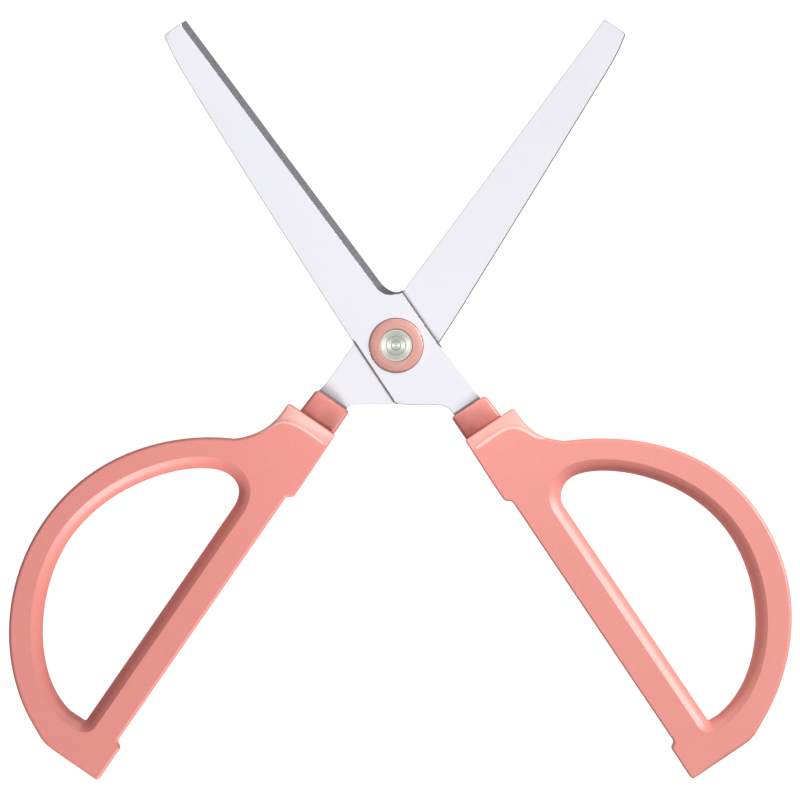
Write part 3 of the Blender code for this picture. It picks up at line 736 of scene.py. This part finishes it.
def build_cap(name):
    face = REAR_FACE
    profile = [(0.0, face)] + [(0.5, face)] + lathe_marks(0.6, 1.5, face - 0.015, face - 0.015, 0.17, 0.017)
    profile += [(1.6, face)] + lathe_marks(1.75, 2.7, face - 0.01, face - 0.015, 0.18, 0.018)
    profile += [(2.9, face - 0.02), (3.12, face - 0.06), (HEAD_R, face - 0.16), (HEAD_R, 2.75),
                (1.7, 2.75), (1.7, 3.2), (0.0, 3.2)]
    return turned(name, profile, sharp=6.0)


# ---------------------------------------------------------------- materials
def nodes_of(name):
    m = bpy.data.materials.new(name)
    m.use_nodes = True
    tree = m.node_tree
    return m, tree, tree.nodes["Principled BSDF"]


def add(tree, kind, **values):
    n = tree.nodes.new(kind)
    for key, value in values.items():
        setattr(n, key, value)
    return n


def link(tree, a, b):
    tree.links.new(a, b)


def coordinates(tree, scale=(1.0, 1.0, 1.0), turn=0.0):
    """Places in the piece's own half frame in millimetres, stretched by scale."""
    where = add(tree, "ShaderNodeAttribute", attribute_name="half_mm")
    mapping = add(tree, "ShaderNodeMapping")
    mapping.inputs["Scale"].default_value = scale
    mapping.inputs["Rotation"].default_value = (0.0, 0.0, turn)
    link(tree, where.outputs["Vector"], mapping.inputs["Vector"])
    return mapping.outputs["Vector"]


def noise(tree, vector, scale, detail=3.0, rough=0.55):
    n = add(tree, "ShaderNodeTexNoise")
    n.inputs["Scale"].default_value = scale
    n.inputs["Detail"].default_value = detail
    n.inputs["Roughness"].default_value = rough
    link(tree, vector, n.inputs["Vector"])
    return n.outputs["Fac"]


def ramp(tree, value, low, high, out_low, out_high):
    n = add(tree, "ShaderNodeMapRange")
    n.inputs["From Min"].default_value = low
    n.inputs["From Max"].default_value = high
    n.inputs["To Min"].default_value = out_low
    n.inputs["To Max"].default_value = out_high
    link(tree, value, n.inputs["Value"])
    return n.outputs["Result"]


def maths(tree, operation, a, b=None):
    n = add(tree, "ShaderNodeMath", operation=operation)
    for socket, value in zip(n.inputs, (a, b)):
        if value is None:
            continue
        if isinstance(value, (int, float)):
            socket.default_value = value
        else:
            link(tree, value, socket)
    return n.outputs["Value"]


def blend_colour(tree, factor, a, b, how="MIX"):
    n = add(tree, "ShaderNodeMix", data_type="RGBA", blend_type=how)
    if isinstance(factor, (int, float)):
        n.inputs[0].default_value = factor
    else:
        link(tree, factor, n.inputs[0])
    for socket, value in zip((n.inputs[6], n.inputs[7]), (a, b)):
        if isinstance(value, tuple):
            socket.default_value = value
        else:
            link(tree, value, socket)
    return n.outputs[2]


def bump(tree, height, distance_m, strength=1.0, normal=None):
    n = add(tree, "ShaderNodeBump")
    n.inputs["Strength"].default_value = strength
    n.inputs["Distance"].default_value = distance_m
    link(tree, height, n.inputs["Height"])
    if normal is not None:
        link(tree, normal, n.inputs["Normal"])
    return n.outputs["Normal"]


def attribute(tree, name):
    n = add(tree, "ShaderNodeAttribute", attribute_name=name)
    return n.outputs["Fac"]


def moulded_plastic(name, colour, deep, roughness=0.49, wall=True, ridge=0.0, painted_shade=None):
    """Matte moulded plastic: a spark-eroded grain and slight flow shading, with
    edges painted warmer and deeper as a painted glow of light through the thin
    plastic. An optional factor mixes in a painted shadow colour, and ridge sets
    the painted light on the shoulder's slope and its painted highlight line."""
    m, tree, shader = nodes_of(name)
    at = coordinates(tree)
    flow = noise(tree, at, 0.07, 3.0, 0.5)
    mottle = noise(tree, at, 0.8, 4.0, 0.62)
    grain = noise(tree, at, 3.1, 4.0, 0.7)
    speck = noise(tree, at, 7.0, 2.0, 0.5)
    light = tuple(min(1.0, c * 1.10 + 0.02) for c in colour[:3]) + (1.0,)
    dark = tuple(c * 0.93 for c in deep[:3]) + (1.0,)
    tone = blend_colour(tree, ramp(tree, flow, 0.38, 0.62, 0.0, 0.40), colour, deep)
    tone = blend_colour(tree, ramp(tree, mottle, 0.36, 0.64, 0.0, 0.16), tone, dark)
    tone = blend_colour(tree, ramp(tree, grain, 0.42, 0.66, 0.0, 0.50), tone, light)
    tone = blend_colour(tree, ramp(tree, grain, 0.34, 0.46, 0.45, 0.0), tone, dark)
    # Painted shade: the optional factor mixes in a darker shadow colour.
    if painted_shade is not None:
        shadow = tuple(c * k for c, k in zip(colour[:3], (0.46, 0.33, 0.31))) + (1.0,)
        tone = blend_colour(tree, painted_shade(tree), tone, shadow)
    rough = ramp(tree, grain, 0.3, 0.7, roughness - 0.05, roughness + 0.06)
    # Painted light: the shoulder's slope is painted lighter, more so towards its outer side, and a painted highlight
    # runs as a pale line along its ridge, where the roughness is also lowered.
    if ridge:
        line = ramp(tree, attribute(tree, "ridge_mm"), 0.08, 0.36, 1.0, 0.0)
        line = maths(tree, "MULTIPLY", line, ramp(tree, flow, 0.35, 0.6, 0.30, 0.50))
        slope = ramp(tree, attribute(tree, "slope_mm"), -0.1, 0.9, 0.0, ridge)
        tone = blend_colour(tree, slope, tone, (1.0, 0.50, 0.44, 1.0))
        tone = blend_colour(tree, line, tone, (1.0, 0.80, 0.76, 1.0))
        rough = maths(tree, "SUBTRACT", rough, maths(tree, "MULTIPLY", line, 0.10))
    if wall:
        # Painted glow: the plastic within 0.3 mm of a wall, and the walls themselves, are painted warmer and deeper,
        # standing in for light shining through the thin edges.
        rim = ramp(tree, attribute(tree, "wall_mm"), 0.02, 0.32, 1.0, 0.0)
        rim = maths(tree, "MULTIPLY", rim, ramp(tree, mottle, 0.30, 0.6, 0.55, 0.85))
        tone = blend_colour(tree, rim, tone, (min(1.0, colour[0] * 1.08), colour[1] * 0.82, colour[2] * 0.62, 1.0))
        edge_wear_and_shade = ramp(tree, attribute(tree, "wall_mm"), 0.1, 0.9, 1.0, 0.0)
        rough = maths(tree, "SUBTRACT", rough, maths(tree, "MULTIPLY", edge_wear_and_shade, 0.06))
    link(tree, tone, shader.inputs["Base Color"])
    link(tree, rough, shader.inputs["Roughness"])
    height = maths(tree, "ADD", grain, maths(tree, "MULTIPLY", speck, 0.35))
    link(tree, bump(tree, height, 0.00003, 0.5), shader.inputs["Normal"])
    shader.inputs["IOR"].default_value = 1.50
    shader.inputs["Specular IOR Level"].default_value = 0.85
    return m


def collar_painted_shade(x0, x1, y0, y1):
    """Painted shade: darker towards the shoulder and towards the centre plane, where the shoulder shades the collar."""
    def factor(tree):
        split = add(tree, "ShaderNodeSeparateXYZ")
        link(tree, coordinates(tree), split.inputs["Vector"])
        back = ramp(tree, split.outputs["Y"], y0 - 0.2, y1, 0.0, 0.78)
        inner = ramp(tree, split.outputs["X"], x1 - 0.6, x0, 0.0, 0.46)
        both = maths(tree, "ADD", back, inner)
        return maths(tree, "MULTIPLY", both, ramp(tree, noise(tree, coordinates(tree), 0.35, 3.0, 0.6), 0.3, 0.7, 0.8, 1.1))
    return factor


def sheet_steel(name, colour, deep, mouth, roughness=0.34):
    """Rolled and tumbled blade steel: soft clouding and faint lengthwise drag
    lines, with painted shade along the edges and where it enters the collar."""
    m, tree, shader = nodes_of(name)
    at = coordinates(tree)
    drawn = coordinates(tree, (9.0, 0.25, 3.0))
    cloud = noise(tree, at, 0.12, 3.0, 0.5)
    fine = noise(tree, at, 3.0, 4.0, 0.6)
    streak = noise(tree, drawn, 1.0, 3.0, 0.6)
    tone = blend_colour(tree, ramp(tree, cloud, 0.35, 0.65, 0.0, 0.35), colour, deep)
    tone = blend_colour(tree, ramp(tree, fine, 0.35, 0.7, 0.0, 0.35), tone, deep)
    # Painted shade: the blade's outer 0.2 mm is painted darker grey, a painted shadow line along its edges.
    edge_wear_and_shade = ramp(tree, attribute(tree, "wall_mm"), 0.05, 0.22, 0.75, 0.0)
    tone = blend_colour(tree, edge_wear_and_shade, tone, (0.66, 0.66, 0.68, 1.0))
    # Painted shadow where the blade enters the collar: a dark band at the collar's front and a soft fall-off along the
    # blade, stronger towards one side.
    split = add(tree, "ShaderNodeSeparateXYZ")
    link(tree, at, split.inputs["Vector"])
    near, far, y, amount = mouth
    shade = maths(tree, "MULTIPLY", ramp(tree, split.outputs["Y"], y + 2.4, y, 0.0, 1.0),
                  ramp(tree, split.outputs["X"], near, far, 0.35, amount))
    shade = maths(tree, "MAXIMUM", maths(tree, "POWER", shade, 1.6),
                  maths(tree, "MULTIPLY", ramp(tree, split.outputs["Y"], y + 0.62, y + 0.36, 0.0, 1.0), amount * 0.95))
    tone = blend_colour(tree, shade, tone, (0.16, 0.20, 0.22, 1.0))
    link(tree, tone, shader.inputs["Base Color"])
    shader.inputs["Metallic"].default_value = 0.52
    rough = maths(tree, "ADD", ramp(tree, fine, 0.3, 0.7, roughness - 0.05, roughness + 0.05),
                  ramp(tree, streak, 0.3, 0.7, -0.03, 0.03))
    link(tree, rough, shader.inputs["Roughness"])
    height = maths(tree, "ADD", maths(tree, "MULTIPLY", streak, 0.7), fine)
    link(tree, bump(tree, height, 0.000002, 0.5), shader.inputs["Normal"])
    return m


def ground_steel(name, colour, deep, roughness=0.34):
    """The ground cutting bevel: close parallel wheel marks across the edge."""
    m, tree, shader = nodes_of(name)
    across = coordinates(tree, (0.5, 9.0, 0.5), 0.08)
    wide = coordinates(tree, (0.2, 2.2, 0.2), 0.05)
    marks = noise(tree, across, 1.0, 3.0, 0.7)
    bands = noise(tree, wide, 1.0, 2.0, 0.5)
    tone = blend_colour(tree, ramp(tree, marks, 0.3, 0.7, 0.0, 0.8), colour, deep)
    tone = blend_colour(tree, ramp(tree, bands, 0.4, 0.65, 0.0, 0.4), tone, deep)
    link(tree, tone, shader.inputs["Base Color"])
    shader.inputs["Metallic"].default_value = 1.0
    link(tree, ramp(tree, marks, 0.3, 0.7, roughness - 0.06, roughness + 0.08), shader.inputs["Roughness"])
    link(tree, bump(tree, marks, 0.00001, 0.6), shader.inputs["Normal"])
    return m


def sheared_and_shadow_line_steel(name, colour, deep):
    """The blanked side walls of the blade: matt, with vertical shear marks.
    Its dark grey is also painted on the edge chamfers and the groove round
    the ring as painted shadow lines.
    """
    m, tree, shader = nodes_of(name)
    at = coordinates(tree, (5.0, 5.0, 0.7))
    marks = noise(tree, at, 1.0, 4.0, 0.65)
    tone = blend_colour(tree, ramp(tree, marks, 0.3, 0.7, 0.0, 1.0), colour, deep)
    link(tree, tone, shader.inputs["Base Color"])
    shader.inputs["Metallic"].default_value = 1.0
    link(tree, ramp(tree, marks, 0.3, 0.7, 0.38, 0.5), shader.inputs["Roughness"])
    link(tree, bump(tree, marks, 0.00002, 0.5), shader.inputs["Normal"])
    return m


def turned_steel(name, colour, deep, roughness=0.30):
    """A lathe-turned face: fine rings about the axis."""
    m, tree, shader = nodes_of(name)
    where = add(tree, "ShaderNodeAttribute", attribute_name="half_mm")
    flat = add(tree, "ShaderNodeMapping")
    flat.inputs["Scale"].default_value = (1.0, 1.0, 0.0)
    link(tree, where.outputs["Vector"], flat.inputs["Vector"])
    size = add(tree, "ShaderNodeVectorMath", operation="LENGTH")
    link(tree, flat.outputs["Vector"], size.inputs[0])
    radius = add(tree, "ShaderNodeCombineXYZ")
    link(tree, size.outputs["Value"], radius.inputs["X"])
    rings = noise(tree, radius.outputs["Vector"], 9.0, 4.0, 0.7)
    broad = noise(tree, radius.outputs["Vector"], 1.6, 2.0, 0.5)
    grit = noise(tree, flat.outputs["Vector"], 5.0, 3.0, 0.6)
    tone = blend_colour(tree, ramp(tree, rings, 0.3, 0.7, 0.0, 0.7), colour, deep)
    tone = blend_colour(tree, ramp(tree, broad, 0.4, 0.65, 0.0, 0.5), tone, deep)
    tone = blend_colour(tree, ramp(tree, grit, 0.4, 0.7, 0.0, 0.25), tone, deep)
    link(tree, tone, shader.inputs["Base Color"])
    shader.inputs["Metallic"].default_value = 1.0
    link(tree, ramp(tree, rings, 0.3, 0.7, roughness - 0.06, roughness + 0.08), shader.inputs["Roughness"])
    link(tree, bump(tree, rings, 0.00002, 0.6), shader.inputs["Normal"])
    return m


# Both halves are one pink plastic. The front copy is painted lighter and the rear copy darker, painted light and shade
# for how each half is lit; the collars' colours and the ridge amounts differ between the halves the same way.
REAR_PINK_PAINTED_DARKER = (0.700, 0.226, 0.194, 1.0)
REAR_PINK_DEEP_PAINTED_DARKER = (0.655, 0.204, 0.174, 1.0)
FRONT_PINK_PAINTED_LIGHTER = (0.80, 0.282, 0.240, 1.0)
FRONT_PINK_DEEP_PAINTED_LIGHTER = (0.755, 0.254, 0.214, 1.0)

plastic_front = moulded_plastic("front_moulded_plastic", FRONT_PINK_PAINTED_LIGHTER, FRONT_PINK_DEEP_PAINTED_LIGHTER, ridge=0.55)
plastic_rear = moulded_plastic("rear_moulded_plastic", REAR_PINK_PAINTED_DARKER, REAR_PINK_DEEP_PAINTED_DARKER, ridge=0.95)
# The collars get painted shade, darker towards the shoulder and the centre plane.
neck_front = moulded_plastic("front_neck_plastic_fine", (0.80, 0.268, 0.230, 1.0), (0.74, 0.238, 0.203, 1.0), 0.46,
                             painted_shade=collar_painted_shade(*FRONT["neck_x"], FRONT["neck_y"], FRONT["shoulder_y"]))
neck_rear = moulded_plastic("rear_neck_plastic_fine", (0.71, 0.232, 0.199, 1.0), (0.65, 0.205, 0.174, 1.0), 0.46,
                            painted_shade=collar_painted_shade(*REAR["neck_x"], REAR["neck_y"], REAR["shoulder_y"]))
ring_plastic = moulded_plastic("ring_plastic_fine", (0.76, 0.37, 0.315, 1.0), (0.70, 0.32, 0.27, 1.0), 0.38, wall=False)
steel_front = sheet_steel("front_blade_sheet", (0.915, 0.915, 0.965, 1.0), (0.885, 0.885, 0.94, 1.0), (1.5, 8.8, -17.95, 1.0))
steel_rear = sheet_steel("rear_blade_sheet", (0.92, 0.915, 0.96, 1.0), (0.885, 0.88, 0.93, 1.0), (1.0, 7.6, -16.0, 0.75))
# The ground bevel is the blade's own steel: its grey is partly the ground finish and partly painted shade for the dim
# reflection it catches.
bevel_steel = ground_steel("blade_ground_bevel", (0.36, 0.356, 0.395, 1.0), (0.29, 0.287, 0.32, 1.0))
side_wall_and_shadow_line_steel = sheared_and_shadow_line_steel("blade_sheared_side_and_shadow_lines", (0.44, 0.43, 0.435, 1.0), (0.32, 0.312, 0.315, 1.0))
rivet_steel = turned_steel("rivet_turned_steel", (0.70, 0.725, 0.64, 1.0), (0.56, 0.58, 0.50, 1.0))
cap_steel = turned_steel("rivet_cap_turned_steel", (0.63, 0.65, 0.59, 1.0), (0.52, 0.54, 0.48, 1.0))


# ---------------------------------------------------------------- pieces
lit_front = bpy.data.collections.new("lit_with_front_half")
lit_rear = bpy.data.collections.new("lit_with_rear_half")
lit_front_handle = bpy.data.collections.new("lit_front_handle")
lit_rear_handle = bpy.data.collections.new("lit_rear_handle")
lit_rivet = bpy.data.collections.new("lit_rivet")
casting = bpy.data.collections.new("casting_shadow")


def settle(piece, place, body, node, slot, materials, *groups):
    for m in materials:
        piece.data.materials.append(m)
    piece.data.transform(place)
    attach(piece, body)
    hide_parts(node)
    for group in groups:
        group.objects.link(piece)
    if slot not in ("ring_plastic", "rivet_steel"):
        casting.objects.link(piece)
    return piece


settle(build_handle("front_handle_moulded", FRONT), FRONT_PLACE, "front_half", "front_handle",
       "handle_plastic", [plastic_front], lit_front, lit_front_handle)
settle(build_handle("rear_handle_moulded", REAR), REAR_PLACE, "rear_half", "rear_handle",
       "handle_plastic", [plastic_rear], lit_rear, lit_rear_handle)
settle(build_blade("front_blade_ground", FRONT), FRONT_PLACE, "front_half", "front_blade",
       "blade_steel", [steel_front, bevel_steel, side_wall_and_shadow_line_steel], lit_front)
settle(build_blade("rear_blade_ground", REAR), REAR_PLACE, "rear_half", "rear_blade",
       "blade_steel", [steel_rear, bevel_steel, side_wall_and_shadow_line_steel], lit_rear)
settle(build_sleeve("front_neck_collar", FRONT), FRONT_PLACE, "front_half", "front_neck_sleeve",
       "neck_plastic", [neck_front], lit_front, lit_front_handle)
settle(build_sleeve("rear_neck_collar", REAR), REAR_PLACE, "rear_half", "rear_neck_sleeve",
       "neck_plastic", [neck_rear], lit_rear, lit_rear_handle)
settle(build_ring("front_ring_turned", 3.5), FRONT_PLACE, "front_half", "front_pivot_ring",
       "ring_plastic", [ring_plastic], lit_front)
settle(build_ring("rear_ring_turned", 3.3), REAR_PLACE, "rear_half", "rear_pivot_ring",
       "ring_plastic", [ring_plastic], lit_rear)
settle(build_rivet("pivot_rivet_turned"), Matrix.Translation((0, 0, MID_Z * MM)), "rear_half", "pivot_rivet",
       "rivet_steel", [rivet_steel], lit_rivet)
settle(build_cap("rivet_cap_turned"), REAR_PLACE, "rear_half", "rivet_rear_cap",
       "rivet_steel", [cap_steel], lit_rear)


# ---------------------------------------------------------------- table, light, camera
def table_top():
    mesh = bpy.data.meshes.new("table_top")
    size, n = 4.0, 24
    xs = np.linspace(-size, size, n + 1)
    vertices = [(x, y, -0.002) for y in xs for x in xs]
    faces = [(j * (n + 1) + i, j * (n + 1) + i + 1, (j + 1) * (n + 1) + i + 1, (j + 1) * (n + 1) + i)
             for j in range(n) for i in range(n)]
    mesh.from_pydata(vertices, [], faces)
    piece = bpy.data.objects.new("table_top", mesh)
    bpy.context.scene.collection.objects.link(piece)
    m, tree, shader = nodes_of("table_white")
    shader.inputs["Base Color"].default_value = (0.30, 0.30, 0.30, 1.0)
    shader.inputs["Roughness"].default_value = 0.9
    shader.inputs["Specular IOR Level"].default_value = 0.0
    shader.inputs["Emission Color"].default_value = (1.0, 1.0, 1.0, 1.0)
    seen = add(tree, "ShaderNodeLightPath")
    link(tree, ramp(tree, seen.outputs["Is Camera Ray"], 0.0, 1.0, 0.38, 1.0), shader.inputs["Emission Strength"])
    piece.data.materials.append(m)
    return piece


table_top()

world = bpy.data.worlds.new("soft_studio")
bpy.context.scene.world = world
world.use_nodes = True
tree = world.node_tree
back = tree.nodes["Background"]
where = tree.nodes.new("ShaderNodeTexCoord")
split = tree.nodes.new("ShaderNodeSeparateXYZ")
tree.links.new(where.outputs["Generated"], split.inputs["Vector"])
rise = tree.nodes.new("ShaderNodeValToRGB")
rise.color_ramp.interpolation = "EASE"
stops = [(0.0, 0.08), (0.5, 0.13), (0.80, 0.35), (0.94, 0.97), (1.0, 1.0)]
while len(rise.color_ramp.elements) < len(stops):
    rise.color_ramp.elements.new(0.5)
for element, (position, value) in zip(rise.color_ramp.elements, stops):
    element.position = position
    element.color = (value, value, value * 1.01, 1.0)
# The wall behind the table looks as white as the table does.
seen = tree.nodes.new("ShaderNodeLightPath")
height = tree.nodes.new("ShaderNodeMath")
height.operation = "MAXIMUM"
tree.links.new(split.outputs["Z"], height.inputs[0])
tree.links.new(seen.outputs["Is Camera Ray"], height.inputs[1])
tree.links.new(height.outputs["Value"], rise.inputs["Fac"])
tree.links.new(rise.outputs["Color"], back.inputs["Color"])
back.inputs["Strength"].default_value = 1.0


def soft_light(name, bearing, height, power, size, group, far=1.0, centre=(0.0, 0.0, 0.0), blockers=None):
    """A round softbox: bearing in degrees from +X, height above the table,
    far away from the point it faces."""
    lamp = bpy.data.lights.new(name, "AREA")
    lamp.energy = power
    lamp.size = size
    lamp.shape = "DISK"
    o = bpy.data.objects.new(name, lamp)
    bpy.context.scene.collection.objects.link(o)
    b, h = math.radians(bearing), math.radians(height)
    away = Vector((math.cos(b) * math.cos(h), math.sin(b) * math.cos(h), math.sin(h))) * far
    o.location = away + Vector(centre)
    o.rotation_mode = "QUATERNION"
    o.rotation_quaternion = away.to_track_quat("Z", "Y")
    o.visible_camera = False
    o.light_linking.receiver_collection = group
    if blockers is not None:
        o.light_linking.blocker_collection = blockers
    return o


soft_light("key_front", 24.0, 32.0, 11.0, 0.34, lit_front, blockers=casting)
soft_light("key_rear", -63.0, 32.0, 11.0, 0.34, lit_rear)
soft_light("shoulder_front", 124.0, 38.0, 0.034, 0.04, lit_front_handle, 0.09, (0.0178, -0.0169, 0.007))
soft_light("shoulder_rear", 55.0, 38.0, 0.046, 0.04, lit_rear_handle, 0.09, (-0.0178, -0.0169, 0.007))
soft_light("rivet_glint_left", 180.0, 66.0, 0.54, 0.32, lit_rivet)
soft_light("rivet_glint_right", 0.0, 66.0, 0.68, 0.32, lit_rivet)

camera = bpy.data.cameras.new("camera")
camera.lens = 683.0
camera.sensor_width = 36.0
camera.clip_start, camera.clip_end = 0.1, 20.0
eye = bpy.data.objects.new("camera", camera)
bpy.context.scene.collection.objects.link(eye)
eye.location = (0.00079, -0.01077, 3.0035)
eye.rotation_euler = (0.0, 0.0, 0.0)
bpy.context.scene.camera = eye

settings = bpy.context.scene.view_settings
settings.view_transform = "Standard"
settings.look = "None"
settings.exposure = 0.0
settings.gamma = 1.0

bpy.context.view_layer.update()
